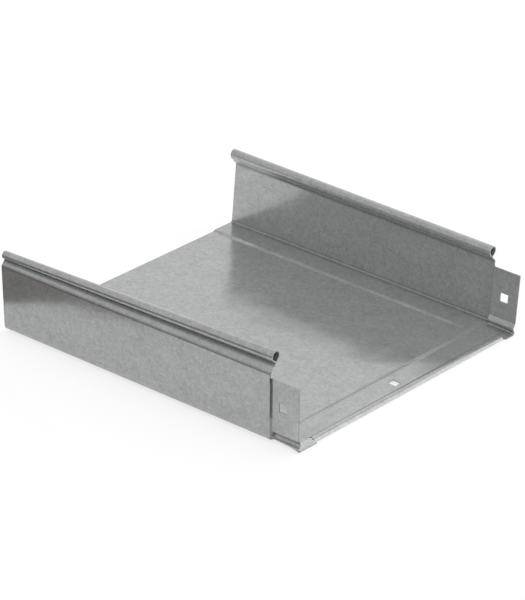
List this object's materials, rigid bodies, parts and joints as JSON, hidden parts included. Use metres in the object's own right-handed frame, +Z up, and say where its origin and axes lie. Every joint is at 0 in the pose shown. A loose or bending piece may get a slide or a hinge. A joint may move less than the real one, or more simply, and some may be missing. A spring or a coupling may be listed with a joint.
{
  "type": "cable tray",
  "caption": "Solid-bottom galvanised cable tray length with curled rims and a joggled coupling end that slides into the next tray.",
  "frame": {"origin": "middle of the pressed floor panel's flat underside, half-way along the full-height body", "axes": "+X across the tray to the right, +Y along it towards the free end with the coupling end at -Y, +Z up"},
  "size_m": [0.256, 0.2582, 0.0676],
  "materials": {
    "galvanised_steel": "hot-dip galvanised, fine spangle, satin"
  },
  "bodies": {
    "root": {"tray": "galvanised_steel"}
  },
  "joints": []
}
